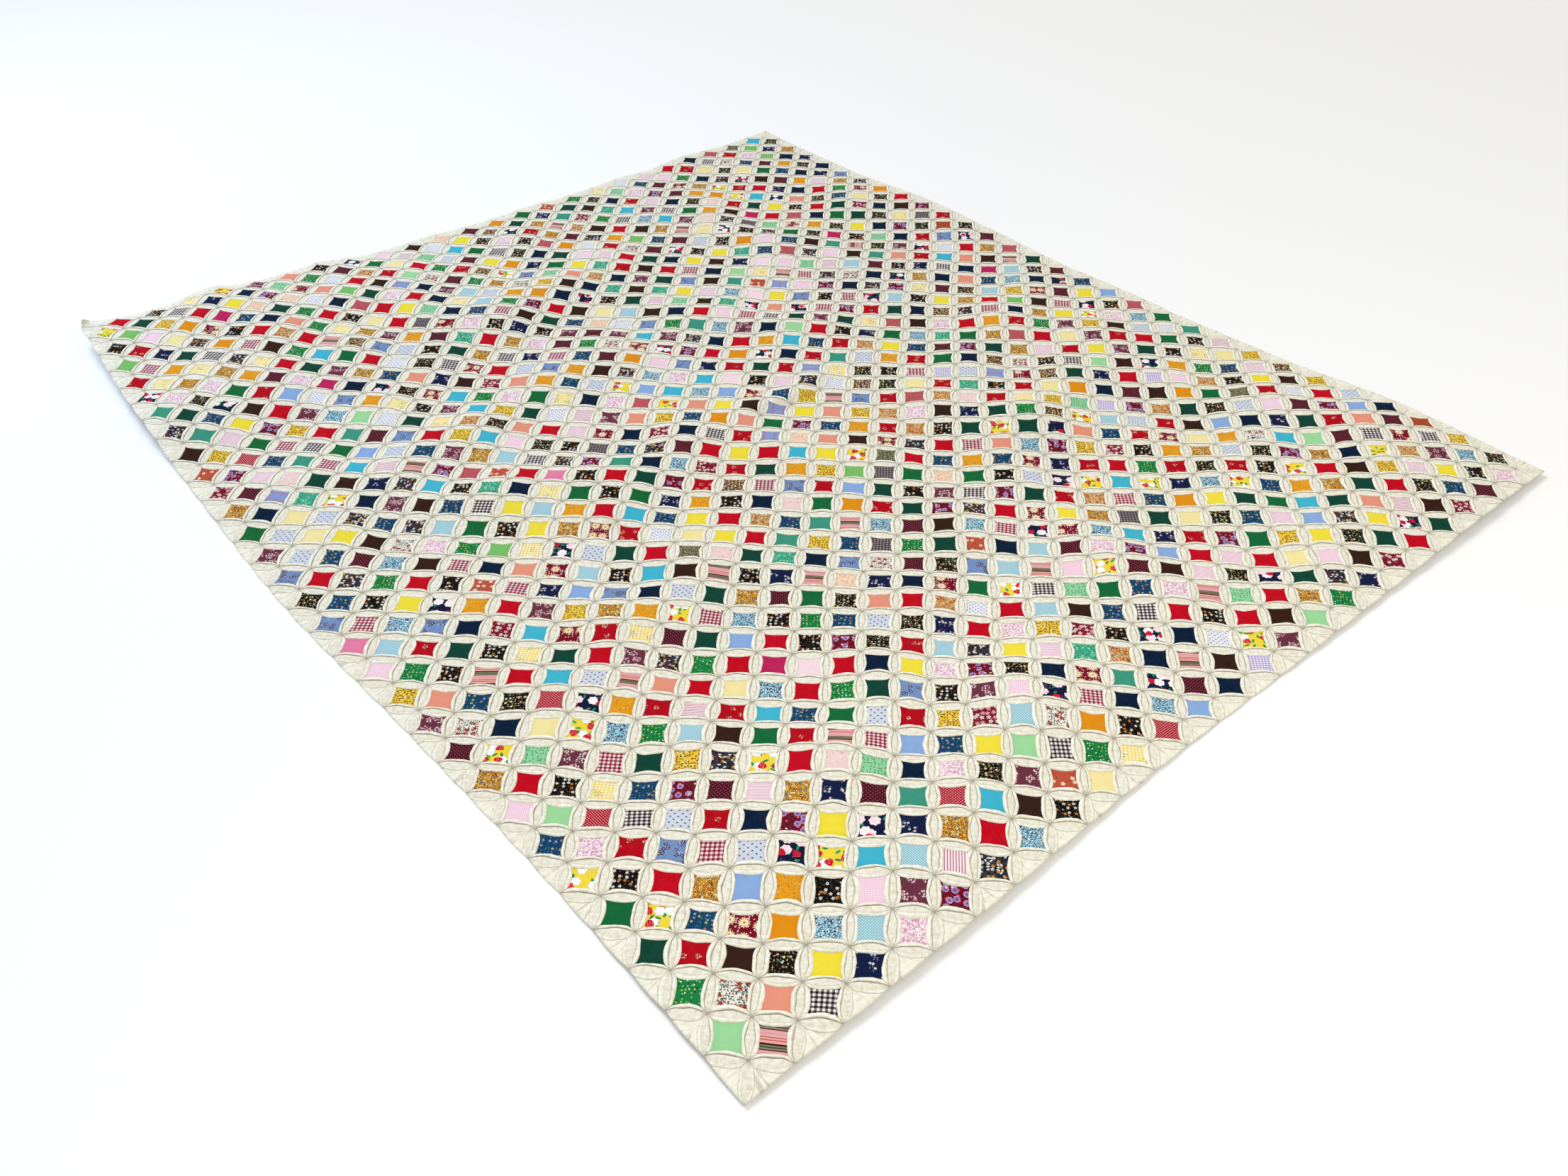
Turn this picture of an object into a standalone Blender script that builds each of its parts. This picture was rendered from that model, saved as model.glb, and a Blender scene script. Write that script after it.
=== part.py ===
"""A cathedral window patchwork quilt, laid out on the floor.

The whole quilt is one sheet: folded muslin blocks whip-stitched edge to edge, with a fabric
window in every seam between two blocks. It has no wadding, no backing and no binding. It lies
flat in places and rises in soft swells and ripples in others.

Run with blender --background --python part.py. Units are metres, +Z is up and the floor is
z = 0. X runs across the quilt and Y along it. Places on the quilt are counted in blocks,
across and along, from its near left corner.
"""

import math
from typing import NamedTuple

import bmesh
import bpy
from mathutils import Vector

BLOCK = 0.0762
BLOCKS_ACROSS = 25
BLOCKS_ALONG = 30
SHEET_THICK = 0.0035
WINDOW_SINK = 0.0018
MM = 0.001

# A rise under this height lies on the floor, and the next few millimetres ease up from it.
SLACK = 1.0 * MM
EASE = 4.0 * MM


class Fold(NamedTuple):
    """A swell or ripple: its middle, reach along and half width across in blocks, height in mm."""

    name: str
    across: float
    along: float
    turn_deg: float
    reach: float
    width: float
    height: float


FOLDS = (
    Fold("far left swell", 2.5, 28.3, -15, 6.5, 4.6, 31),
    Fold("far left lip", 0.8, 30.3, 0, 1.8, 1.6, 13),
    Fold("far left second wave", 5.2, 30.5, 90, 1.7, 2.2, 12),
    Fold("far left corner curl", 0.0, 30.0, 45, 0.6, 0.5, 12),
    Fold("left shoulder", 1.0, 23.6, 0, 2.8, 1.6, 18),
    Fold("left middle ridge", 3.0, 18.9, -10, 3.5, 1.3, 11),
    Fold("crossing ridge", 10.5, 24.0, 0, 3.0, 1.6, 13),
    Fold("middle band", 10.5, 19.6, 5, 4.5, 1.4, 9),
    Fold("pinched fold", 16.2, 18.0, -45, 2.0, 0.8, 8),
    Fold("left wave", 5.2, 15.8, -25, 2.3, 1.2, 12),
    Fold("middle wave", 9.5, 14.0, -10, 2.6, 1.3, 10),
    Fold("left low ridge", 5.5, 10.4, -35, 1.8, 1.1, 10),
    Fold("right middle ridge", 17.2, 10.4, 10, 2.6, 1.4, 14),
    Fold("right field", 21.5, 12.0, 0, 4.5, 3.5, 9),
    Fold("near left swell", 5.0, 2.2, 5, 5.6, 2.9, 20),
    Fold("near left peak", 6.3, 4.0, 20, 1.8, 0.9, 10),
    Fold("near middle", 10.5, 2.2, 0, 1.8, 1.6, 8),
    Fold("near right of middle", 16.6, 1.6, 35, 2.2, 1.4, 10),
    Fold("short upright", 14.9, 5.2, 80, 3.2, 0.9, 12),
    Fold("near right swell", 23.2, 3.0, 25, 5.4, 3.6, 24),
    Fold("right edge lift", 25.0, 20.5, 90, 3.5, 1.6, 13),
    Fold("far upright", 18.9, 24.5, 90, 3.2, 1.2, 9),
    Fold("far right", 23.0, 22.5, 60, 2.2, 1.4, 7),
    Fold("far edge ripple", 20.7, 30.0, 90, 1.4, 1.0, 12),
)


class SideDrift(NamedTuple):
    """How far the long sides stray across, in mm, at a place along the quilt."""

    along: float
    left: float
    right: float


class EndDrift(NamedTuple):
    """How far the short ends stray along, in mm, at a place across the quilt."""

    across: float
    near: float
    far: float


SIDE_DRIFTS = (
    SideDrift(0, 1, -2),
    SideDrift(5, 3, -3),
    SideDrift(10, -7, -4),
    SideDrift(15, -23, -2),
    SideDrift(20, -13, 6),
    SideDrift(25, 2, 2),
    SideDrift(30, 29, 11),
)

END_DRIFTS = (
    EndDrift(0, -6, 19),
    EndDrift(5, 1, 6),
    EndDrift(10, 16, -7),
    EndDrift(15, 17, -12),
    EndDrift(20, 20, -9),
    EndDrift(25, 22, 1),
)


def through(stations, values, place):
    """The value at a place, on a smooth curve through the values at evenly spaced stations."""
    step = stations[1] - stations[0]
    last = len(stations) - 1
    index = min(int(place / step), last - 1)
    part = place / step - index
    before, start, end, after = (values[min(max(index + k, 0), last)] for k in (-1, 0, 1, 2))
    slope_in = (end - before) / 2
    slope_out = (after - start) / 2
    rise = end - start
    return (
        start
        + slope_in * part
        + (3 * rise - 2 * slope_in - slope_out) * part**2
        + (slope_in + slope_out - 2 * rise) * part**3
    )


def drift(across, along):
    """How far the cloth strays from a true rectangle at a place on it, as (x, y)."""
    alongs = [row.along for row in SIDE_DRIFTS]
    left = through(alongs, [row.left for row in SIDE_DRIFTS], along)
    right = through(alongs, [row.right for row in SIDE_DRIFTS], along)
    acrosses = [row.across for row in END_DRIFTS]
    near = through(acrosses, [row.near for row in END_DRIFTS], across)
    far = through(acrosses, [row.far for row in END_DRIFTS], across)
    to_right = across / BLOCKS_ACROSS
    to_far = along / BLOCKS_ALONG
    return MM * (left + (right - left) * to_right), MM * (near + (far - near) * to_far)


def rise(across, along):
    """The height of the cloth's underside over the floor at a place on it."""
    total = -SLACK
    for fold in FOLDS:
        turn = math.radians(fold.turn_deg)
        off_across = across - fold.across
        off_along = along - fold.along
        with_ridge = off_across * math.cos(turn) + off_along * math.sin(turn)
        over_ridge = off_along * math.cos(turn) - off_across * math.sin(turn)
        fade = (with_ridge / fold.reach) ** 2 + (over_ridge / fold.width) ** 2
        total += fold.height * MM * math.exp(-fade)
    if total <= 0:
        return 0.0
    if total < EASE:
        return total**2 / (2 * EASE)
    return total - EASE / 2


def lie(across, along):
    """The point of the underside at a place on the quilt, measured from its near left corner."""
    stray_x, stray_y = drift(across, along)
    return Vector((across * BLOCK + stray_x, along * BLOCK + stray_y, rise(across, along)))


def clear_scene():
    for obj in list(bpy.data.objects):
        bpy.data.objects.remove(obj)


def make_muslin():
    material = bpy.data.materials.new("unbleached muslin")
    material.use_nodes = True
    shader = material.node_tree.nodes["Principled BSDF"]
    shader.inputs["Base Color"].default_value = (0.81, 0.78, 0.68, 1.0)
    shader.inputs["Roughness"].default_value = 0.9
    shader.inputs["Metallic"].default_value = 0.0
    return material


def lay_blocks(bm):
    """A flat grid of blocks, each crossed by its two diagonals, laid into the folds."""
    bmesh.ops.create_grid(bm, x_segments=BLOCKS_ACROSS, y_segments=BLOCKS_ALONG, size=0.5)
    for edge in bm.edges:
        edge.seam = not edge.is_boundary
    bmesh.ops.poke(bm, faces=bm.faces[:])
    for vert in bm.verts:
        vert.co = lie((vert.co.x + 0.5) * BLOCKS_ACROSS, (vert.co.y + 0.5) * BLOCKS_ALONG)


def thicken(bm):
    """Raises the upper face of the cloth over the lower one, and returns its seams."""
    raised = bmesh.ops.extrude_face_region(bm, geom=bm.faces[:])["geom"]
    verts = [item for item in raised if isinstance(item, bmesh.types.BMVert)]
    bmesh.ops.translate(bm, verts=verts, vec=(0, 0, SHEET_THICK))
    return [item for item in raised if isinstance(item, bmesh.types.BMEdge) and item.seam]


def sink_windows(bm, seams):
    """Lowers the middle of every window, which lies over the middle of its seam."""
    cut = bmesh.ops.subdivide_edges(bm, edges=seams, cuts=1)["geom_inner"]
    middles = [item for item in cut if isinstance(item, bmesh.types.BMVert)]
    bmesh.ops.translate(bm, verts=middles, vec=(0, 0, -WINDOW_SINK))


def centre_on_origin(bm):
    """Puts the middle of the quilt's box over the origin, with its underside on the floor."""
    xs = [vert.co.x for vert in bm.verts]
    ys = [vert.co.y for vert in bm.verts]
    middle = Vector(((min(xs) + max(xs)) / 2, (min(ys) + max(ys)) / 2, 0))
    bmesh.ops.translate(bm, verts=bm.verts[:], vec=-middle)


def make_quilt(collection):
    bm = bmesh.new()
    lay_blocks(bm)
    sink_windows(bm, thicken(bm))
    centre_on_origin(bm)
    bmesh.ops.recalc_face_normals(bm, faces=bm.faces[:])
    mesh = bpy.data.meshes.new("quilt")
    bm.to_mesh(mesh)
    bm.free()
    quilt = bpy.data.objects.new("quilt", mesh)
    mesh.materials.append(make_muslin())
    collection.objects.link(quilt)


def main():
    clear_scene()
    collection = bpy.data.collections.new("patchwork quilt")
    bpy.context.scene.collection.children.link(collection)
    make_quilt(collection)


main()
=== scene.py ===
"""A cathedral window patchwork quilt laid out on a pale floor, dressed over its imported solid.

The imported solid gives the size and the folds. Each section below is one piece of the real quilt.
Places on the quilt are counted in blocks, across and along, from its near left corner.
"""

import math
from typing import NamedTuple

import bpy
import numpy as np
from mathutils import Matrix, Vector


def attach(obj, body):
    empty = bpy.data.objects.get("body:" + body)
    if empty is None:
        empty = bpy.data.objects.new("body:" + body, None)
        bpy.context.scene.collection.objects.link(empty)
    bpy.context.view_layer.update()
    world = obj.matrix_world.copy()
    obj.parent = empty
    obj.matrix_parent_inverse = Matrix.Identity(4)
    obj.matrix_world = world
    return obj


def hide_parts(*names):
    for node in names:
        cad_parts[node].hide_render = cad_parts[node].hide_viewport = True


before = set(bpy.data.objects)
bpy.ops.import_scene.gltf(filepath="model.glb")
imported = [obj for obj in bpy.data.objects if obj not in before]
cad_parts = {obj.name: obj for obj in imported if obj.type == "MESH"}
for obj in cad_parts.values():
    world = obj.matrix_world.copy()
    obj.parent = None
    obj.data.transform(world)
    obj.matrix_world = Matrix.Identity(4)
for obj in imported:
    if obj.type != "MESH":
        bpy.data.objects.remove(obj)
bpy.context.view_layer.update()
MM = 0.001


# Muslin blocks
# 750 squares of unbleached muslin, each folded in on itself twice to a firm square block, and
# whip-stitched edge to edge into one cloth. There is no wadding or backing, so the back shows
# the plain blocks and their seams. The cloth lies flat in places and in soft swells in others.

BLOCK = 0.0762
BLOCKS_ACROSS = 25
BLOCKS_ALONG = 30
# The folded layers under the windows, the groove of a whip-stitched seam on the back and how
# dark it is, and the outer edge, where the layers are rounded off on both sides.
BLOCK_THICK = 1.1 * MM
SEAM_GROOVE = 0.45 * MM
SEAM_DARK = 0.8
EDGE_BACK = 0.25 * MM
EDGE_FRONT = 0.95 * MM
# A rise under this height lies on the floor, and the next few millimetres ease up from it.
SLACK = 1.0 * MM
EASE = 4.0 * MM


# The swells and ripples: the middle of each, across and along, how far it is turned, in degrees,
# its reach along itself and its half width, in blocks, and its height in mm.
FOLDS = (
    ("far left swell", 2.5, 28.3, -15, 6.5, 4.6, 31),
    ("far left lip", 0.8, 30.3, 0, 1.8, 1.6, 13),
    ("far left second wave", 5.2, 30.5, 90, 1.7, 2.2, 12),
    ("left shoulder", 1.0, 23.6, 0, 2.8, 1.6, 18),
    ("left middle ridge", 3.0, 18.9, -10, 3.5, 1.3, 11),
    ("crossing ridge", 10.5, 24.0, 0, 3.0, 1.6, 13),
    ("middle band", 10.5, 19.6, 5, 4.5, 1.4, 9),
    ("pinched fold", 16.2, 18.0, -45, 2.0, 0.8, 8),
    ("left wave", 5.2, 15.8, -25, 2.3, 1.2, 12),
    ("middle wave", 9.5, 14.0, -10, 2.6, 1.3, 10),
    ("left low ridge", 5.5, 10.4, -35, 1.8, 1.1, 10),
    ("right middle ridge", 17.2, 10.4, 10, 2.6, 1.4, 14),
    ("right field", 21.5, 12.0, 0, 4.5, 3.5, 9),
    ("near left swell", 5.0, 2.2, 5, 5.6, 2.9, 20),
    ("near left peak", 6.3, 4.0, 20, 1.8, 0.9, 10),
    ("near middle", 10.5, 2.2, 0, 1.8, 1.6, 8),
    ("near right of middle", 16.6, 1.6, 35, 2.2, 1.4, 10),
    ("short upright", 14.9, 5.2, 80, 3.2, 0.9, 12),
    ("near right swell", 23.2, 3.0, 25, 5.4, 3.6, 24),
    ("right edge lift", 25.0, 20.5, 90, 3.5, 1.6, 13),
    ("far upright", 18.9, 24.5, 90, 3.2, 1.2, 9),
    ("far right", 23.0, 22.5, 60, 2.2, 1.4, 7),
    ("far edge ripple", 20.7, 30.0, 90, 1.4, 1.0, 12),
)

# The short, sharp creases that stand up on those swells.
CREASES = (
    ("pinched crease", 13.2, 14.9, -4, 1.2, 0.42, 17),
    ("crease beside the pinch", 14.8, 15.2, 8, 0.9, 0.5, 8),
    ("crease left of the pinch", 10.2, 15.1, -50, 0.9, 0.5, 7),
    ("crease right of the pinch", 13.0, 11.8, -42, 0.8, 0.5, 5),
    ("left crease", 5.5, 16.2, -30, 0.9, 0.5, 6),
    ("middle crease", 7.3, 15.2, -40, 0.9, 0.5, 7),
    ("short crease", 6.9, 13.4, -12, 0.6, 0.5, 5),
    ("far left crease", 5.4, 28.0, -40, 1.2, 0.6, 7),
    ("thin crease", 6.0, 24.5, -15, 0.7, 0.5, 5),
)

# How far the sides stray from a true rectangle, in mm: the left and right sides across, every
# five blocks from the near end, and the near and far ends along, every five from the left.
STATION = 5
LEFT_STRAY = (1, 3, -7, -23, -13, 2, 29)
RIGHT_STRAY = (-2, -3, -4, -2, 6, 2, 11)
NEAR_STRAY = (-6, 1, 16, 17, 20, 22)
FAR_STRAY = (19, 6, -7, -12, -9, 1)


# Hand-sewn rows are never quite straight, so slow waves move the whole cloth, fading out towards
# the sides: turns to a block across and along, where each starts, and how far it moves the cloth
# sideways, endways and up, in mm.
RIPPLES = (
    (0.21, 0.05, 0.6, 1.5, 3.0, 1.3),
    (-0.07, 0.24, 2.1, 2.8, 1.4, 1.2),
    (0.33, 0.19, 4.0, 1.0, 1.6, 1.0),
    (0.16, -0.35, 5.2, 1.7, 0.9, 0.9),
    (0.46, -0.11, 1.2, 0.6, 1.2, 0.8),
)

# The outer edge is drawn in at each seam between blocks. The far end and the right side also
# dip in every few blocks, and the far end dips down too, so far in from the edge, in blocks and mm.
NIP = 1.8
DIP_REACH = 1.8
FAR_DIP = 9.0
FAR_DIP_EVERY = 3.6
RIGHT_DIP = 4.0
RIGHT_DIP_EVERY = 4.3
DIP_DROP = 0.35

# The tip of the far left corner is curled up and over.
CURL_LENGTH = 20 * MM
CURL_RADIUS = 7 * MM


def through(values, place):
    """The values at places, on a smooth curve through the values at the stations."""
    values = np.array(values, float)
    last = len(values) - 1
    index = np.clip((place / STATION).astype(int), 0, last - 1)
    part = place / STATION - index
    before, start, end, after = (values[np.clip(index + k, 0, last)] for k in (-1, 0, 1, 2))
    slope_in = (end - before) / 2
    slope_out = (after - start) / 2
    step = end - start
    return (
        start
        + slope_in * part
        + (3 * step - 2 * slope_in - slope_out) * part**2
        + (slope_in + slope_out - 2 * step) * part**3
    )


def rippled(across, along):
    """How far the ripples move places on the cloth sideways, endways and up, in mm."""
    inward = np.minimum(
        np.minimum(across, BLOCKS_ACROSS - across), np.minimum(along, BLOCKS_ALONG - along)
    )
    total = np.zeros((3,) + np.shape(across))
    for turns_across, turns_along, start, *moves in RIPPLES:
        turns = turns_across * across + turns_along * along
        total += np.multiply.outer(moves, np.sin(2 * math.pi * turns + start))
    return total * np.clip(inward / 2, 0, 1)


def dipped(beside, every, from_edge):
    """How far a dip in an edge is reached, from 0 to 1, at places beside and in from it."""
    turns = beside / every + 0.1 * np.sin(1.7 * beside)
    deep = 0.5 - 0.5 * np.cos(2 * math.pi * turns)
    return deep * np.clip(1 - from_edge / DIP_REACH, 0, 1) ** 1.5


def rise(across, along):
    """The height of the cloth's underside over the floor at places on it."""
    total = rippled(across, along)[2] * MM - SLACK
    for _, fold_across, fold_along, turn_deg, reach, width, height in FOLDS + CREASES:
        turn = math.radians(turn_deg)
        off_across = across - fold_across
        off_along = along - fold_along
        with_ridge = off_across * math.cos(turn) + off_along * math.sin(turn)
        over_ridge = off_along * math.cos(turn) - off_across * math.sin(turn)
        fade = (with_ridge / reach) ** 2 + (over_ridge / width) ** 2
        total += height * MM * np.exp(-fade)
    total = total * (1 - DIP_DROP * dipped(across, FAR_DIP_EVERY, BLOCKS_ALONG - along))
    eased = np.where(total < EASE, total**2 / (2 * EASE), total - EASE / 2)
    return np.where(total <= 0, 0.0, eased)


def nipped(inward, beside, width, length):
    """How far the edges on both sides of a width are drawn in at places beside them, in mm."""
    at_seam = np.cos(math.pi * beside) ** 4 * np.clip(np.minimum(beside, length - beside), 0, 1)
    start = np.clip(1 - 2 * inward, 0, 1)
    end = np.clip(1 - 2 * (width - inward), 0, 1)
    return NIP * at_seam * (start - end)


def plan(across, along):
    """Where places on the cloth lie on the floor, from its near left corner, as x and y."""
    to_right = across / BLOCKS_ACROSS
    to_far = along / BLOCKS_ALONG
    sides = through(LEFT_STRAY, along) * (1 - to_right) + through(RIGHT_STRAY, along) * to_right
    ends = through(NEAR_STRAY, across) * (1 - to_far) + through(FAR_STRAY, across) * to_far
    sideways, endways, _ = rippled(across, along)
    sides += sideways + nipped(across, along, BLOCKS_ACROSS, BLOCKS_ALONG)
    ends += endways + nipped(along, across, BLOCKS_ALONG, BLOCKS_ACROSS)
    sides -= RIGHT_DIP * dipped(along, RIGHT_DIP_EVERY, BLOCKS_ACROSS - across)
    ends -= FAR_DIP * dipped(across, FAR_DIP_EVERY, BLOCKS_ALONG - along)
    return across * BLOCK + sides * MM, along * BLOCK + ends * MM


corner_across, corner_along = np.meshgrid(
    np.arange(BLOCKS_ACROSS + 1.0), np.arange(BLOCKS_ALONG + 1.0)
)
corner_x, corner_y = plan(corner_across, corner_along)
middle_x = (corner_x.min() + corner_x.max()) / 2
middle_y = (corner_y.min() + corner_y.max()) / 2


def curl_tip(points, across, along, height):
    """Rolls the points past the curl's line, at the far left corner, up and back."""
    tip = math.sqrt(0.5) * BLOCK * ((along - BLOCKS_ALONG) - across)
    past = np.maximum(tip + CURL_LENGTH, 0)
    angle = past / CURL_RADIUS
    out = (CURL_RADIUS - height) * np.sin(angle) - past
    up = CURL_RADIUS - (CURL_RADIUS - height) * np.cos(angle) - height
    moved = points + np.stack([-out, out, up / math.sqrt(0.5)], -1) * math.sqrt(0.5)
    return np.where((past > 0)[..., None], moved, points)


def on_cloth(across, along, height):
    """Points at a height over the cloth's underside, square to it, at places on the quilt."""
    step = 0.02
    x, y = plan(across, along)
    z = rise(across, along)
    slope_x = (rise(across + step, along) - rise(across - step, along)) / (2 * step * BLOCK)
    slope_y = (rise(across, along + step) - rise(across, along - step)) / (2 * step * BLOCK)
    steep = np.sqrt(1 + slope_x**2 + slope_y**2)
    points = np.stack(
        [
            x - middle_x - slope_x / steep * height,
            y - middle_y - slope_y / steep * height,
            z + height / steep,
        ],
        -1,
    )
    return curl_tip(points, across, along, height)


def cloth_mesh(name, points, faces, cloth_uv, painted_shade_and_seam_dark):
    """A smooth object from points and quads, with a UV map in metres and a darkening value a point,
    for painted shade and dark seams.
    """
    mesh = bpy.data.meshes.new(name)
    mesh.vertices.add(len(points))
    mesh.vertices.foreach_set("co", points.astype(np.float32).ravel())
    mesh.loops.add(faces.size)
    mesh.loops.foreach_set("vertex_index", faces.astype(np.int32).ravel())
    mesh.polygons.add(len(faces))
    mesh.polygons.foreach_set("loop_start", np.arange(0, faces.size, 4, dtype=np.int32))
    mesh.update(calc_edges=True)
    mesh.shade_smooth()
    layer = mesh.uv_layers.new(name="cloth")
    layer.data.foreach_set("uv", cloth_uv[faces.ravel()].astype(np.float32).ravel())
    value = mesh.attributes.new("painted_shade_and_seam_dark", "FLOAT", "POINT")
    value.data.foreach_set("value", painted_shade_and_seam_dark.astype(np.float32))
    piece = bpy.data.objects.new(name, mesh)
    bpy.context.scene.collection.objects.link(piece)
    return piece


def grid_quads(rows, columns):
    """The quads of one grid of points, row by row, facing up where both axes run forward."""
    first = np.arange(rows - 1)[:, None] * columns + np.arange(columns - 1)
    quads = np.stack([first, first + 1, first + columns + 1, first + columns], -1)
    return quads.reshape(-1, 4)


def in_parts(name, parts, order, points, quads, uv, painted_shade_and_seam_dark):
    """Sets of like grids of points, in that order, as so many objects, each with its share."""
    shares = [len(order) * part // parts for part in range(parts + 1)]
    for part, (begin, end) in enumerate(zip(shares, shares[1:])):
        chosen = order[begin:end]
        shift = np.arange(len(chosen))[:, None, None] * painted_shade_and_seam_dark[0].size
        faces = (quads[None] + shift).reshape(-1, 4)
        grids = points[chosen].reshape(-1, 3)
        flat_uv = uv[chosen].reshape(-1, 2)
        yield cloth_mesh(f"{name}_{part + 1}", grids, faces, flat_uv, painted_shade_and_seam_dark[chosen].ravel()), chosen


def linear(hex_colour):
    """A linear colour with alpha from an sRGB hex value."""
    channels = [int(hex_colour[k : k + 2], 16) / 255 for k in (1, 3, 5)]
    return [c / 12.92 if c <= 0.04045 else ((c + 0.055) / 1.055) ** 2.4 for c in channels] + [1]


def add(tree, kind, settings, output=0):
    """Adds a node, with a value or a linked socket for each property and input, for one output.

    Its kind may have a second word, its operation or data type, such as "Math ADD".
    """
    kind, *mode = kind.split()
    node = tree.nodes.new("ShaderNode" + kind)
    if mode:
        setattr(node, "data_type" if kind == "Mix" else "operation", mode[0])
    for key, value in settings.items():
        if isinstance(key, str) and hasattr(node, key):
            setattr(node, key, value)
        elif isinstance(value, bpy.types.NodeSocket):
            tree.links.new(value, node.inputs[key])
        else:
            node.inputs[key].default_value = value
    return node.outputs[output]


def new_cotton(name, roughness, sheen):
    """A material for cotton cloth, its node tree, its shader and its cloth UV socket."""
    material = bpy.data.materials.new(name)
    material.use_nodes = True
    tree = material.node_tree
    shader = tree.nodes["Principled BSDF"]
    shader.inputs["Roughness"].default_value = roughness
    shader.inputs["Specular IOR Level"].default_value = 0.05
    shader.inputs["Sheen Weight"].default_value = sheen
    return material, tree, shader, add(tree, "UVMap", {"uv_map": "cloth"})


def stretched_noise(tree, uv, per_metre, turn_deg=0, detail=3):
    """Noise at a different scale each way, such as slubby threads."""
    scale = (per_metre[0], per_metre[1], 1)
    turn = (0, 0, math.radians(turn_deg))
    placed = add(tree, "Mapping", {"Vector": uv, "Scale": scale, "Rotation": turn})
    noise = {"noise_dimensions": "2D", "Vector": placed, "Scale": 1, "Detail": detail}
    return add(tree, "TexNoise", noise)


def woven(tree, uv, threads, length):
    """Threads both ways, as the sum of two drawn-out noises, so many to a metre each way."""
    warp = stretched_noise(tree, uv, (threads, length))
    weft = stretched_noise(tree, uv, (length, threads))
    return add(tree, "Math ADD", {0: warp, 1: weft})


def creases_from_middles(tree, uv):
    """Noise drawn out in rays from the middle of each block, where its layers are tacked."""
    per_block = (1 / BLOCK, 1 / BLOCK, 0)
    place = add(tree, "VectorMath MULTIPLY", {0: uv, 1: per_block})
    block = add(tree, "VectorMath FLOOR", {0: place})
    own = add(tree, "VectorMath DOT_PRODUCT", {0: block, 1: (17, 5.3, 0)}, "Value")
    away = add(tree, "VectorMath FRACTION", {0: place})
    away = add(tree, "VectorMath SUBTRACT", {0: away, 1: (0.5, 0.5, 0)})
    far = add(tree, "VectorMath LENGTH", {0: away}, "Value")
    x, y = add(tree, "SeparateXYZ", {0: away}).node.outputs[:2]
    angle = add(tree, "Math ARCTAN2", {0: y, 1: x})
    apart = add(tree, "Math ADD", {0: far, 1: own})
    return stretched_noise(tree, add(tree, "CombineXYZ", {0: angle, 1: apart}), (4.5, 1.6), 0, 2)


def unbleached_muslin(name, tone, shade, gathers, creased=False):
    """Plain weave cotton, never bleached: matt, cream, slubby and clouded by washing, with brown
    painted shade in its creases.

    The threads are 0.4 mm apart, drawn here at 0.9 mm so that they show. Gathers is how deep the
    small puckers are that cross a stitched fold, and how many there are to a metre each way.
    """
    material, tree, shader, uv = new_cotton(name, 0.92, 0.03)
    cloudy = stretched_noise(tree, uv, (140, 140), 0, 4)
    part = add(tree, "MapRange", {"Value": cloudy, "From Min": 0.40, "From Max": 0.66})
    soiled = add(tree, "Mix RGBA", {0: part, 6: linear(tone), 7: linear(shade)}, 2)
    painted_shade_and_seam_dark = add(tree, "Attribute", {"attribute_name": "painted_shade_and_seam_dark"}, "Fac")
    weave = woven(tree, uv, 1100, 180)
    bumps = add(tree, "Bump", {"Strength": 0.15, "Distance": 0.0003, "Height": weave})
    if creased:
        rays = creases_from_middles(tree, uv)
        # Painted shade along the rays, where they crease the cloth.
        ray_shade = {"Value": rays, "From Min": 0.42, "From Max": 0.30, "To Max": 0.55}
        ray_shade = add(tree, "MapRange", ray_shade)
        painted_shade_and_seam_dark = add(tree, "Math MAXIMUM", {0: painted_shade_and_seam_dark, 1: ray_shade})
        bumps = {"Strength": 0.8, "Distance": 0.004, "Height": rays, "Normal": bumps}
        bumps = add(tree, "Bump", bumps)
    for strength, distance, height in (
        (1.0, 0.0017, stretched_noise(tree, uv, (60, 130), 25, 3)),
        (0.9, gathers[0], stretched_noise(tree, uv, gathers[1:])),
    ):
        bumps = {"Strength": strength, "Distance": distance, "Height": height, "Normal": bumps}
        bumps = add(tree, "Bump", bumps)
    # Painted shade: the darkening value mixes in brown, for shade in the creases, under the lips of
    # the rolls and where leaves meet. On the back of the blocks it also darkens the seams.
    deep = add(tree, "Math POWER", {0: painted_shade_and_seam_dark, 1: 1.75})
    deep = add(tree, "Math MULTIPLY", {0: deep, 1: 0.92})
    shade_and_seam_colour = add(tree, "Mix RGBA", {0: deep, 6: soiled, 7: linear("#675637")}, 2)
    tree.links.new(shade_and_seam_colour, shader.inputs["Base Color"])
    tree.links.new(bumps, shader.inputs["Normal"])
    return material


# The grid lines within a block: close by its seams, where the back dips, and wide between.
BLOCK_LINES = np.array([0, 0.05, 0.35, 0.65, 0.95])


def block_lines(count):
    lines = np.arange(count)[:, None] + BLOCK_LINES
    return np.append(lines.ravel(), count)


across_lines = block_lines(BLOCKS_ACROSS)
# The pinched crease bends too sharply for these, so the two blocks that it crosses have more.
pinch_lines = np.setdiff1d(np.arange(141, 160) / 10, [15])
along_lines = np.sort(np.concatenate([block_lines(BLOCKS_ALONG), pinch_lines]))
base_across, base_along = np.meshgrid(across_lines, along_lines)
on_seam = (base_across % 1 == 0) | (base_along % 1 == 0)
on_edge = np.isin(base_across, (0, BLOCKS_ACROSS)) | np.isin(base_along, (0, BLOCKS_ALONG))
back_height = np.where(on_edge, EDGE_BACK, np.where(on_seam, SEAM_GROOVE, 0.0))
front_height = np.where(on_edge, EDGE_FRONT, BLOCK_THICK)
rows, columns = base_across.shape
front = on_cloth(base_across, base_along, front_height).reshape(-1, 3)
back = on_cloth(base_across, base_along, back_height).reshape(-1, 3)
flat = grid_quads(rows, columns)
number = np.arange(rows * columns).reshape(rows, columns)
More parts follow.
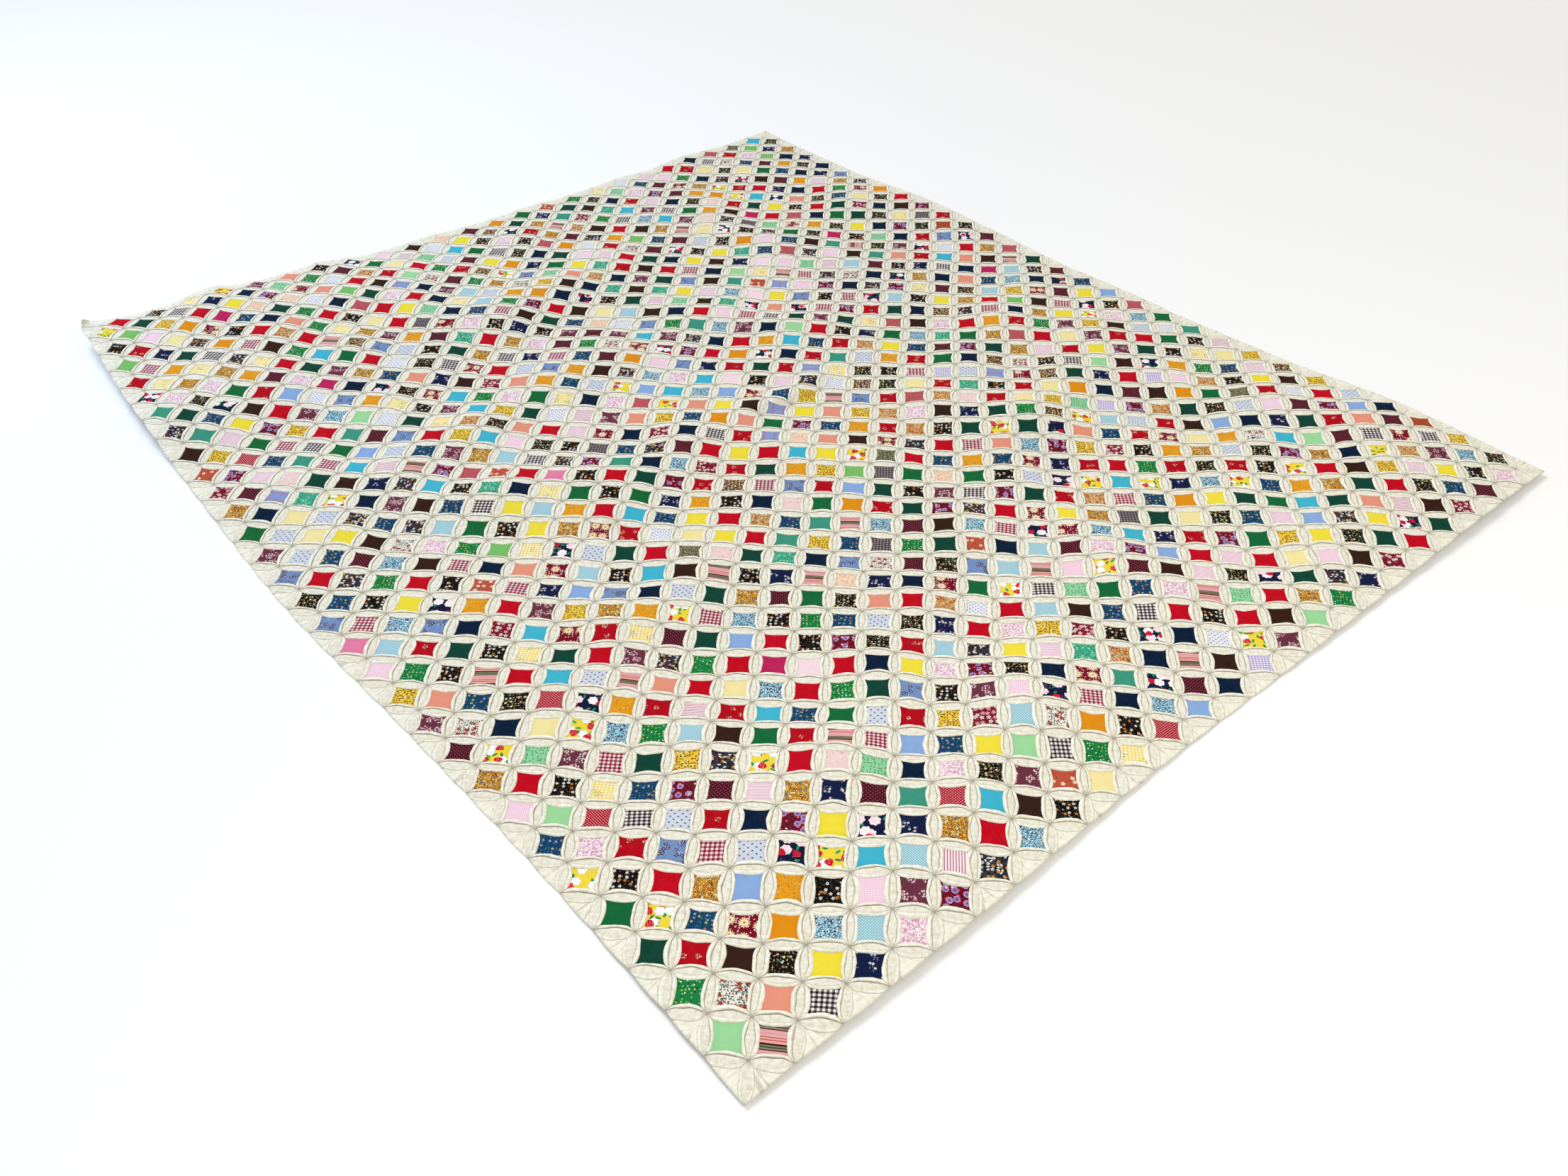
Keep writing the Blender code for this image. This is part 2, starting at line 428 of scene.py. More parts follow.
rim_loop = np.concatenate([number[0, :-1], number[:-1, -1], number[-1, :0:-1], number[:0:-1, 0]])
rim_next = np.roll(rim_loop, -1)
rim = np.stack([rim_loop + len(front), rim_next + len(front), rim_next, rim_loop], -1)
base_uv = np.stack([base_across, base_along], -1).reshape(-1, 2) * BLOCK
blocks = cloth_mesh(
    "muslin_blocks",
    np.concatenate([front, back]),
    np.concatenate([flat, flat[:, ::-1] + len(front), rim]),
    np.concatenate([base_uv, base_uv]),
    np.append(np.zeros(len(front)), SEAM_DARK * (on_seam & ~on_edge)),
)
blocks.data.materials.append(
    unbleached_muslin(
        "unbleached muslin, folded flat", "#F1EEDF", "#EAE5D1", (0.0008, 160, 160), creased=True
    )
)
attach(blocks, "root")
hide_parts("quilt")


# Rolled folds
# On every half diagonal of a block, the bias edges of the muslin are rolled over the patches on
# either side and blind-stitched down. So each half diagonal is a leaf: two puffy rolls with a
# narrow strip of muslin set lower between them. On the quilt's outer edge a side stays flat.

rng = np.random.default_rng(1930)

CELL = BLOCK * math.sqrt(0.5)
# Half widths of the whole leaf and of the gap between its rolls, as shares of a cell's side.
LEAF_HALF_WIDTH = 0.202
GAP_HALF_WIDTH = 0.092
STEPS_TO_MIDDLE = np.array([0.012, 0.06, 0.165, 0.24, 0.32, 0.41])
LEAF_STEPS = np.concatenate([STEPS_TO_MIDDLE, [0.5], 1 - STEPS_TO_MIDDLE[::-1]])
NODE_SHIFT = 0.017
# How far off true the hand leaves a roll's foot, in blocks, and its heights, in mm.
HAND_WOBBLE = 0.0026
HAND_UNEVEN = 0.09
# How much painted shade darkens a leaf's ends, where it meets others, and how far along it that
# reaches.
END_SHADE = 0.86
END_REACH = 0.17


# Lines along one side of a leaf: its foot on the patch, its shoulder, crest and inner lip, the
# crease tucked under the lip, and the edge of the leaf's middle part. Each has its place, from 0
# at the gap to 1 at the outer edge or to -1 at the middle line, its height in mm over the
# underside and how much painted shade darkens it, first where there is a roll and then where
# the side is flat.
RINGS = (
    (1.00, 1.25, 0.15, 1.00, 1.13, 0.95),
    (0.93, 2.45, 0.00, 0.92, 1.40, 0.45),
    (0.50, 3.25, 0.00, 0.60, 1.65, 0.10),
    (0.07, 2.90, 0.42, 0.30, 1.75, 0.30),
    (0.13, 1.70, 1.00, 0.10, 1.80, 0.40),
    (-0.20, 2.20, 0.30, -0.20, 1.90, 0.34),
)
LEAF_FOOT = 1.15


def shifted_nodes(across, along):
    """Block corners or middles, a little off their true places as hand work is."""
    shift = rng.uniform(-NODE_SHIFT, NODE_SHIFT, (2,) + across.shape)
    inside = (across > 0) & (across < BLOCKS_ACROSS) & (along > 0) & (along < BLOCKS_ALONG)
    return np.stack([across + shift[0] * inside, along + shift[1] * inside], -1)


corners = shifted_nodes(corner_across, corner_along)
block_column, block_row = np.meshgrid(np.arange(BLOCKS_ACROSS), np.arange(BLOCKS_ALONG))
middles = shifted_nodes(block_column + 0.5, block_row + 0.5)
at_left = block_column == 0
at_right = block_column == BLOCKS_ACROSS - 1
at_near = block_row == 0
at_far = block_row == BLOCKS_ALONG - 1
# For each corner of a block: its column and row step, and whether the sides to the left and the
# right of the way from it to the middle lie on the quilt's outer edge.
CORNER_SIDES = (
    (0, 0, at_left, at_near),
    (1, 0, at_near, at_right),
    (1, 1, at_right, at_far),
    (0, 1, at_far, at_left),
)
starts = []
flat_sides = []
for column_step, row_step, flat_left, flat_right in CORNER_SIDES:
    starts.append(corners[block_row + row_step, block_column + column_step])
    flat_sides.append(np.stack([flat_left, flat_right], -1))
leaf_start = np.stack(starts, 2).reshape(-1, 1, 1, 2)
leaf_end = np.repeat(middles.reshape(-1, 1, 1, 2), len(CORNER_SIDES), 0)
leaf_flat = np.stack(flat_sides, 2).reshape(-1, 2)
leaf_count = len(leaf_flat)

belly = 4 * LEAF_STEPS * (1 - LEAF_STEPS)
from_node = np.minimum(LEAF_STEPS, 1 - LEAF_STEPS)


def hand_wave(depth):
    """A slow unevenness along each leaf, about 1."""
    turns = rng.uniform(0.7, 2.2, (leaf_count, 1)) * LEAF_STEPS[None, :]
    return 1 + depth * np.sin(2 * math.pi * (turns + rng.uniform(0, 1, (leaf_count, 1))))


def half_leaf(flat_side):
    """Places out from the middle line, heights and painted shade of one side's rings, for every
    leaf.
    """
    width = LEAF_HALF_WIDTH * rng.uniform(0.84, 1.14, (leaf_count, 1)) * hand_wave(0.045)
    width = np.minimum(width * belly**0.44, from_node)
    gap = GAP_HALF_WIDTH * rng.uniform(0.75, 1.25, (leaf_count, 1)) * hand_wave(0.16) * belly
    gap = np.minimum(gap, 0.75 * width)[..., None]
    width = width[..., None]
    plump = rng.uniform(0.88, 1.1, (leaf_count, 1, 1))
    out, height, painted_shade_and_seam_dark, flat_out, flat_height, flat_shade = np.array(RINGS).T
    pick = flat_side[:, None, None]
    out = np.where(pick, flat_out, out)
    height = np.where(pick, flat_height, LEAF_FOOT + (height - LEAF_FOOT) * plump)
    painted_shade_and_seam_dark = np.where(pick, flat_shade, painted_shade_and_seam_dark) * np.ones((leaf_count, len(LEAF_STEPS), 1))
    # Painted shade: the foot of a roll is darker near the nodes, where the leaves meet.
    painted_shade_and_seam_dark[..., 0] = np.where(from_node < 0.15, 0.9, painted_shade_and_seam_dark[..., 0])
    painted_shade_and_seam_dark = np.maximum(painted_shade_and_seam_dark, (END_SHADE * (1 - from_node / END_REACH))[None, :, None])
    place = np.where(out < 0, gap * (1 + out), gap + (width - gap) * out)
    wobble = rng.normal(0, HAND_WOBBLE, (leaf_count, len(LEAF_STEPS), 1)) * belly[None, :, None]
    place = place + wobble * (out > 0.9)
    uneven = rng.normal(0, HAND_UNEVEN, place.shape)
    height = np.where(height > 1.3, height + uneven, height)
    height = LEAF_FOOT + (height - LEAF_FOOT) * (belly**0.48)[None, :, None]
    return place, height * MM, painted_shade_and_seam_dark


left_place, left_height, left_shade = half_leaf(leaf_flat[:, 0])
right_place, right_height, right_shade = half_leaf(leaf_flat[:, 1])
side = np.concatenate([left_place, -right_place[..., ::-1]], -1)
height = np.concatenate([left_height, right_height[..., ::-1]], -1)
painted_shade_and_seam_dark = np.concatenate([left_shade, right_shade[..., ::-1]], -1)
bow = rng.normal(0, 0.008, (leaf_count, 1, 1)) * belly[None, :, None]
way = leaf_end - leaf_start
square = np.stack([-way[..., 1], way[..., 0]], -1)
place = leaf_start + way * LEAF_STEPS[None, :, None, None] + square * (side + bow)[..., None]
leaf_points = on_cloth(place[..., 0], place[..., 1], height)
leaf_uv = np.stack([np.broadcast_to(LEAF_STEPS[None, :, None], side.shape), side], -1) * CELL
leaf_uv = leaf_uv + rng.uniform(0, 1, (leaf_count, 1, 1, 2))

rolled_muslin = unbleached_muslin(
    "unbleached muslin, rolled and stitched", "#F5F3E6", "#E8E2CC", (0.0016, 250, 60)
)
LEAF_PIECES = 5
leaf_quads = grid_quads(len(LEAF_STEPS), side.shape[-1])[:, ::-1]
leaf_order = np.arange(leaf_count)
for piece, _ in in_parts(
    "rolled_folds", LEAF_PIECES, leaf_order, leaf_points, leaf_quads, leaf_uv, painted_shade_and_seam_dark
):
    piece.data.materials.append(rolled_muslin)
    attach(piece, "root")


# Patches
# Scraps of printed and plain dress cotton, cut about 48 mm square and laid on the seam between
# two blocks, on point. The rolled folds cover their raw edges, so each shows as a square with
# hollow sides. They come from some sixty cloths, in no order, with no two alike side by side.


class Dots(NamedTuple):
    """Rows of round dots, staggered: how far apart and how wide, in mm."""

    name: str
    ground: str
    dot: str
    pitch: float
    size: float


class Check(NamedTuple):
    """A two-colour woven check, with checks of a width in mm."""

    name: str
    light: str
    dark: str
    check: float


class Stripe(NamedTuple):
    """Stripes that repeat, each of a width in mm and a colour."""

    name: str
    widths: tuple
    colours: str


class Figures(NamedTuple):
    """Printed figures, such as flowers, leaves or berries, repeated all over a cloth.

    Pitch and size are the spacing and radius in mm, cut is how deep the petals are parted, and
    stretch is how much longer than wide. Share is how many of the places are filled. Scattered
    is 0 for a staggered grid. Within is the spacing and reach, in mm, of the sprays that small
    figures keep to, and place moves a layer, or puts two on the same spots.
    """

    pitch: float
    size: float
    colours: str
    petals: int = 0
    cut: float = 0.0
    stretch: float = 1.0
    share: float = 0.85
    scattered: float = 0.7
    outline: str | None = None
    eye: str | None = None
    eye_size: float = 0.3
    within: tuple | None = None
    place: int = 1


class Vines(NamedTuple):
    """Thin stems that wander all over a cloth: how close, how thick and what colour."""

    per_metre: float
    thickness: float
    colour: str


class Cotton(NamedTuple):
    """A plain colour or a print: a ground, which may be a Check, under layers of figures."""

    name: str
    ground: object
    layers: tuple


def cotton(name, ground, *layers):
    """A cloth, with its layers from the lowest up."""
    return Cotton(name, ground, layers)


def flower(pitch, size, colours, eye=None, **more):
    return Figures(pitch, size, colours, petals=5, cut=0.25, eye=eye, **more)


def leaf(pitch, size, colours, **more):
    return Figures(pitch, size, colours, stretch=2.4, **more)


PLAIN_COLOURS = {
    "crimson": "#BC041C", "bottle green": "#0C4032", "kelly green": "#116434",
    "mint": "#98D298", "jade": "#3A9078", "navy": "#051C36",
    "brown": "#331C12", "lemon": "#EAD73A", "cream yellow": "#EDDE9C",
    "marigold": "#DB8B14", "peach": "#E09078", "cornflower": "#86A6D6",
    "turquoise": "#3EAEC8", "raspberry": "#B81F58", "rose": "#DD7BA0",
    "pale pink": "#F1D5DE", "rust": "#A4482B",
}
CLOTHS = (
    *[cotton(name + " plain", colour) for name, colour in PLAIN_COLOURS.items()],
    Dots("maroon pin dot", "#4C1020", "#C87C88", 6.4, 0.6),
    Dots("light blue pin dot", "#86BCCC", "#EAF0F0", 4.1, 0.72),
    Dots("crimson pin dot", "#A60822", "#F2D0D2", 4.6, 0.7),
    Dots("green pin dot", "#4BA84A", "#DDF0A8", 4.2, 0.7),
    Check("red gingham", "#F4E0E4", "#8A082A", 3.3),
    Check("black gingham", "#EEE6E4", "#1F1218", 3.3),
    Check("pink gingham", "#F5E4EC", "#E9BED2", 1.6),
    Check("lilac check", "#F1EEF6", "#A99BCB", 2.4),
    Check("grey plaid", "#9A8C8A", "#3A3340", 2.7),
    Stripe(
        "brown and pink stripe",
        (1.6, 2, 1.2, 2.2, 1.4, 4.6, 0.6, 3.6, 0.8, 2.8, 1, 3.2, 1),
        "#2B201B #7C7C62 #2B201B #8A8468 #3A1E1E #DFA3A6 #C77F84 #E0A6A8 #8C2530 "
        "#E59C94 #A33A3C #E8A79F #6A1A20",
    ),
    Stripe("raspberry stripe", (1.4, 1.3, 1.3), "#F3EAEA #EAD4DA #AC5278"),
    Stripe("pink pencil stripe", (1.5, 0.95), "#F2E6EA #CE84A8"),
    Stripe("denim line stripe", (17, 0.9, 1.3, 0.9), "#8598C6 #C2474E #8598C6 #C2474E"),
    cotton(
        "black calico", "#0F0C0B",
        leaf(4.8, 0.75, "#6A6236 #7F5A34 #3F5A3A", share=0.7),
        flower(7.8, 2.5, "#F7F3EA #F7F3EA #D98A3C", "#3A2A18", share=0.7),
        flower(9, 1.1, "#C23A34 #F2EFE6", place=3, share=0.5),
    ),
    cotton(
        "black meadow", "#17110D",
        leaf(4.4, 0.7, "#C9BE80 #8A9A78 #A87A4A", share=0.65),
        flower(8.5, 2.2, "#D98F80 #8FC8BC #EFE38C", "#F3E8C8", share=0.65),
        flower(6, 1, "#E9D880 #E9E2C0", place=4, share=0.6),
    ),
    cotton(
        "brown thicket", "#22160F",
        leaf(2.6, 0.95, "#A8744C #C99A6C #7A4A30"),
        flower(6, 1.9, "#F6F0E2 #F0D860 #F6F0E2", "#7A4A20"),
    ),
    cotton(
        "mustard garden", "#DEA436",
        Vines(230, 0.045, "#5A3A1A"),
        leaf(3.2, 0.8, "#5A3A1A #3F5A46 #F4E3B0"),
        flower(6.6, 2.1, "#A82A1C #F3E8C8 #B8401F #4A6A94", "#F6D25A", outline="#3A2412"),
    ),
    cotton(
        "apricot garden", "#DFA050",
        Vines(260, 0.05, "#6A4A22"),
        leaf(2.9, 0.8, "#8A5A1C #6F8A8A #E9C890"),
        flower(6, 2, "#F6E9CC #B5401C #F0DDB8", "#A8321A", outline="#8A4A1C"),
    ),
    cotton(
        "orange sprig", "#E49A10",
        Vines(120, 0.008, "#9A7A3A"),
        leaf(5.2, 0.8, "#6F6A64 #8A7A5A", share=0.75),
        flower(7.6, 1.3, "#B5401C #E9D3A0 #7C7A74", "#5A4A3A", share=0.7),
    ),
    cotton(
        "blue vines", "#103C62",
        Vines(90, 0.007, "#2A6460"),
        leaf(5, 0.75, "#3F8A55 #7FA0B0", share=0.5),
        flower(8.5, 2, "#E9D46A #D98A6A #A9C0D8", "#7A2A2A", share=0.7),
    ),
    cotton(
        "navy bells", "#101C40",
        leaf(4, 0.9, "#7F90AA #B0788A", within=(19, 6.5), share=0.6),
        flower(6, 2.1, "#F6F2EE #B9C9DE #E9D3D6", "#D9A0A0", within=(19, 6)),
    ),
    cotton(
        "burgundy daisies", "#7A0A20",
        leaf(4.6, 0.9, "#1F1A20 #F0DDE0", share=0.4),
        flower(5, 1.2, "#F6EEE6", share=0.5),
        Figures(
            21, 8.6, "#F6E6C0 #F3DDB0", 14, 0.24, share=0.8, scattered=0.5, outline="#5A0A18",
            eye="#B8742A", eye_size=0.22,
        ),
    ),
    cotton(
        "burgundy carnations", "#720A24",
        leaf(5, 1.4, "#2A1420 #3A3038", share=0.7),
        Figures(14, 4.6, "#8A6AAE #9A7AB8", 9, 0.1, outline="#F2E8F2", eye="#5A3A80"),
        flower(8, 2, "#F6EFEA #E8708E", "#B8742A", share=0.5, place=5),
    ),
    cotton(
        "burgundy blossoms", "#7C1028",
        leaf(4, 0.9, "#3A1018 #C86A80 #5A4A50", share=0.7),
        flower(9, 3.6, "#F4ECDC #E9B0BC #F4ECDC", "#A83048", outline="#4A0A18"),
    ),
    cotton(
        "rust roses on white", "#EBE6DC",
        Vines(150, 0.02, "#3A3A34"),
        leaf(3.8, 1.25, "#23221F #4F7F7A #3A4A3C", share=0.7),
        flower(10.5, 3.9, "#A8432C #B9573A", "#7A2A1E", share=0.7, outline="#5A2018"),
    ),
    cotton(
        "light blue garden", "#8EC6D8",
        Vines(180, 0.035, "#1F2A4A"),
        leaf(3.8, 1.05, "#1B2A4E #F3F6F6 #1B2A4E"),
        flower(7.2, 2.7, "#1B2550 #1B2550 #5A1F4C", "#E6F0F4", eye_size=0.45),
    ),
    cotton(
        "pink sprig on white", "#F2E9EA",
        Vines(170, 0.035, "#CF8FB0"),
        leaf(3.6, 0.8, "#C27A9C #D79ABA", share=0.7),
        flower(6.2, 2.2, "#C06C94 #CF8AAA", "#F6E6EC", share=0.8),
    ),
    cotton(
        "plum sprig", "#683040",
        Figures(3.6, 1.6, "#F7EBEC #DDA8B4", petals=5, cut=0.3, share=0.9, within=(17, 7)),
    ),
    cotton(
        "green meadow", "#187C3E",
        leaf(5.8, 1.2, "#0A3F30 #1A3A30", share=0.6),
        Figures(5.6, 1.05, "#F4F3E4 #D9D050 #8FD08A", share=0.65, place=3),
    ),
    cotton("mint leaves", "#8CCB9A", leaf(5.2, 1.15, "#1A6444 #23744C", share=0.85)),
    cotton("jade leaves", "#45A886", leaf(4.4, 1.1, "#0F5644 #C9E8D0 #0F5644", share=0.8)),
    cotton(
        "red bouquet", "#AE0418",
        flower(2.3, 1.05, "#EAD8B0 #D98A4A #5C6A4A #3F5A7A #F0E6D0", share=1, within=(23, 4.6)),
    ),
    cotton(
        "blue grey posy", "#C8D0DC",
        Figures(8, 1.4, "#3A4874 #3A4874 #8A4660", stretch=1.3, scattered=0, share=1),
    ),
    cotton(
        "grey pin posy", "#DFE3EC",
        Figures(6.2, 1.35, "#2C3A62 #A0485C", petals=6, cut=0.15, scattered=0, share=1),
    ),
    cotton(
        "denim roses", "#718CB8",
        leaf(3, 0.9, "#26305A #26305A #C7D3E6", within=(19, 6), share=0.7),
        flower(6, 2.9, "#5A1F40 #26264E", "#F0D8E0", within=(19, 6.5), outline="#1B2048"),
    ),
    cotton(
        "rust posy", "#B8503A",
        leaf(6, 1.1, "#3F4A2A #7C2F1C", share=0.5),
        flower(14, 3.7, "#F6EFE0 #F3E2C8", "#E9B060", outline="#7C2F1C"),
    ),
    cotton(
        "olive posy", "#55583F",
        leaf(2.8, 0.7, "#A9A882 #2F3226"),
        flower(4.6, 1.1, "#D9CFA8 #C9C2A0", share=0.8),
    ),
    cotton(
        "charcoal garden", "#34353F",
        leaf(4.6, 1.7, "#0E0D10 #E9E6E2 #0E0D10", share=0.7),
        flower(8.4, 2.7, "#F3F0EC #8A1F2A #E9A83A", "#1A1614", share=0.75),
    ),
    cotton(
        "yellow garden", "#E6C03C",
        leaf(4.3, 1.3, "#241C14 #3A2A14"),
        flower(8, 1.9, "#C23B2C #F6F1D8", "#3A1A14", share=0.7),
    ),
    cotton(
        "yellow check posy",
        Check("yellow gingham", "#FBF6E0", "#EACF68", 2.6),
        leaf(4.4, 1.2, "#6F9A5A #8FB070", share=0.8, within=(26, 7.5)),
        flower(6.4, 1.9, "#F0A080 #E8B08A", share=1, within=(26, 4)),
    ),
    cotton(
        "peach posy", "#F0CDB2",
        flower(6.2, 1.9, "#B2673C #D98A5C #7C8A5C", "#FFF0DC", share=0.8),
    ),
    cotton(
        "berries on yellow", "#EBD238",
        leaf(9, 3, "#1E9A58 #12804A", share=0.4, place=6),
        Figures(19, 7.6, "#F8F9F8", petals=6, cut=0.1, share=0.62, outline="#6F9AB8", place=3),
        Figures(2.9, 0.42, "#7A9CC8", share=0.8, within=(19, 5.5), place=3),
        Figures(19, 6.6, "#C8142C", petals=3, cut=0.1, share=0.62, place=8),
        Figures(2.7, 0.45, "#F6D9B8", share=0.9, within=(19, 5), place=8),
    ),
    cotton(
        "berries on navy", "#0F1838",
        leaf(10, 2.8, "#1E8A58", share=0.35, place=6),
        Figures(20, 8.6, "#F8F0F2 #F6DDE4", petals=7, cut=0.08, share=0.7, place=3),
        Figures(4.2, 0.8, "#D98AA4", petals=5, cut=0.3, within=(20, 6.5), place=3),
        Figures(22, 6.4, "#C41A34", petals=3, cut=0.1, share=0.5, place=9),
    ),
    cotton(
        "pale pink figures", "#E8CCC8",
        Figures(11, 2, "#E9B870 #D98A9A #F8F0E6", petals=4, cut=0.2, share=0.4),
        Figures(8, 0.5, "#3A2A2A #B85A6A", share=0.4, place=4),
    ),
)

# How much the weave and the washing lighten and darken a patch's colours.
FADED = 0.02
DULLED = 0.10


def bands_colour(tree, chance, colours, widths=None):
    """The colour of the band that a number from 0 to 1 falls in, even bands if no widths."""
    colours = [linear(colour) for colour in colours.split()]
    if len(colours) == 1:
        return colours[0]
    banded = add(tree, "ValToRGB", {0: chance})
    ramp = banded.node.color_ramp
    ramp.interpolation = "CONSTANT"
    widths = widths or [1] * len(colours)
    start = 0.0
    for index, (width, colour) in enumerate(zip(widths, colours)):
        place = start / sum(widths)
        stop = ramp.elements[index] if index < 2 else ramp.elements.new(place)
        stop.position = place
        stop.color = colour
        start += width
    return banded


def from_nearest(tree, place, pitch, scattered):
    """How far a place is from the nearest of the spots that figures sit on, and that spot."""
    spots = {
        "voronoi_dimensions": "2D",
        "Vector": place,
        "Scale": 1000 / pitch,
        "Randomness": scattered,
    }
    nearest = add(tree, "TexVoronoi", spots, "Position")
    return add(tree, "VectorMath SUBTRACT", {0: place, 1: nearest}), nearest


def figures_over(tree, uv, under, figures):
    """Lays one layer of figures over a colour."""
    turn = 0 if figures.scattered else math.radians(45)
    start = (0.37 * figures.place, 0.61 * figures.place, 0)
    moved = {"Vector": uv, "Location": start, "Rotation": (0, 0, turn)}
    moved = add(tree, "Mapping", moved)
    away, nearest = from_nearest(tree, moved, figures.pitch, figures.scattered)
    chances = add(tree, "SeparateColor", {0: nearest.node.outputs["Color"]}).node.outputs
    turn = -turn
    if figures.scattered:
        turn = add(tree, "Math MULTIPLY", {0: chances[2], 1: 2 * math.pi})
    away = add(tree, "VectorRotate", {"rotation_type": "Z_AXIS", "Vector": away, "Angle": turn})
    stretch = math.sqrt(figures.stretch)
    scale = (1000 / figures.size / stretch, 1000 / figures.size * stretch, 0)
    away = add(tree, "VectorMath MULTIPLY", {0: away, 1: scale})
    far = add(tree, "VectorMath LENGTH", {0: away}, "Value")
    edge = 1.0
    if figures.petals:
        x, y = add(tree, "SeparateXYZ", {0: away}).node.outputs[:2]
        wave = add(tree, "Math ARCTAN2", {0: y, 1: x})
        wave = add(tree, "Math MULTIPLY", {0: wave, 1: figures.petals})
        wave = add(tree, "Math COSINE", {0: wave})
        edge = add(tree, "Math MULTIPLY_ADD", {0: wave, 1: figures.cut, 2: 1 - figures.cut})
    kept = add(tree, "Math LESS_THAN", {0: chances[0], 1: figures.share})
    if figures.within:
        pitch, reach = figures.within
        spray, _ = from_nearest(tree, nearest, pitch, 0.7)
        spray = add(tree, "VectorMath LENGTH", {0: spray}, "Value")
        near = add(tree, "Math LESS_THAN", {0: spray, 1: reach * MM})
        kept = add(tree, "Math MULTIPLY", {0: kept, 1: near})
    shapes = [(edge, bands_colour(tree, chances[1], figures.colours))]
    if figures.outline:
        wider = add(tree, "Math ADD", {0: edge, 1: 0.4 / figures.size})
        shapes.insert(0, (wider, linear(figures.outline)))
    if figures.eye:
        shapes.append((figures.eye_size, linear(figures.eye)))
    for reach, colour in shapes:
        inside = add(tree, "Math LESS_THAN", {0: far, 1: reach})
        inside = add(tree, "Math MULTIPLY", {0: inside, 1: kept})
        under = add(tree, "Mix RGBA", {0: inside, 6: under, 7: colour}, 2)
    return under


def vines_over(tree, uv, under, vines):
    """Lays stems over a colour, along one level of a slow noise."""
    level = stretched_noise(tree, uv, (vines.per_metre, vines.per_metre), 15, 1)
    off = add(tree, "Math SUBTRACT", {0: level, 1: 0.5})
    off = add(tree, "Math ABSOLUTE", {0: off})
    stem = add(tree, "Math LESS_THAN", {0: off, 1: vines.thickness})
    return add(tree, "Mix RGBA", {0: stem, 6: under, 7: linear(vines.colour)}, 2)


LAYERS = {Figures: figures_over, Vines: vines_over}


def cotton_colour(tree, uv, cloth):
    ground = cloth.ground
    colour = linear(ground) if isinstance(ground, str) else check_colour(tree, uv, ground)
    for layer in cloth.layers:
        colour = LAYERS[type(layer)](tree, uv, colour, layer)
    return colour


def dots_colour(tree, uv, cloth):
    """Two square grids of dots, the second in the middles of the first."""
    colour = linear(cloth.ground)
    scale = (1000 / cloth.pitch, 1000 / cloth.pitch, 0)
    for shift in (0.0, 0.5):
        place = {0: uv, 1: scale, 2: (shift, shift, 0.5)}
        place = add(tree, "VectorMath MULTIPLY_ADD", place)
        place = add(tree, "VectorMath FRACTION", {0: place})
        off = add(tree, "VectorMath SUBTRACT", {0: place, 1: (0.5, 0.5, 0.5)})
        off = add(tree, "VectorMath LENGTH", {0: off}, "Value")
        dot = add(tree, "Math LESS_THAN", {0: off, 1: cloth.size / cloth.pitch})
        colour = add(tree, "Mix RGBA", {0: dot, 6: colour, 7: linear(cloth.dot)}, 2)
    return colour


def check_colour(tree, uv, cloth):
    """Dyed and undyed threads both ways: undyed, half dyed and fully dyed squares."""
    dyed = []
    for part in add(tree, "SeparateXYZ", {0: uv}).node.outputs[:2]:
        turns = add(tree, "Math MULTIPLY", {0: part, 1: 500 / cloth.check})
        turns = add(tree, "Math FRACT", {0: turns})
        dyed.append(add(tree, "Math LESS_THAN", {0: turns, 1: 0.5}))
    both = add(tree, "Math ADD", {0: dyed[0], 1: dyed[1]})
    both = add(tree, "Math MULTIPLY", {0: both, 1: 0.5})
    both = add(tree, "Math POWER", {0: both, 1: 0.34})
    threads = {0: both, 6: linear(cloth.light), 7: linear(cloth.dark)}
    return add(tree, "Mix RGBA", threads, 2)


def stripe_colour(tree, uv, cloth):
    across = add(tree, "SeparateXYZ", {0: uv}, 1)
    turns = add(tree, "Math MULTIPLY", {0: across, 1: 1000 / sum(cloth.widths)})
    turns = add(tree, "Math FRACT", {0: turns})
    return bands_colour(tree, turns, cloth.colours, cloth.widths)


PATTERNS = {Cotton: cotton_colour, Dots: dots_colour, Check: check_colour, Stripe: stripe_colour}


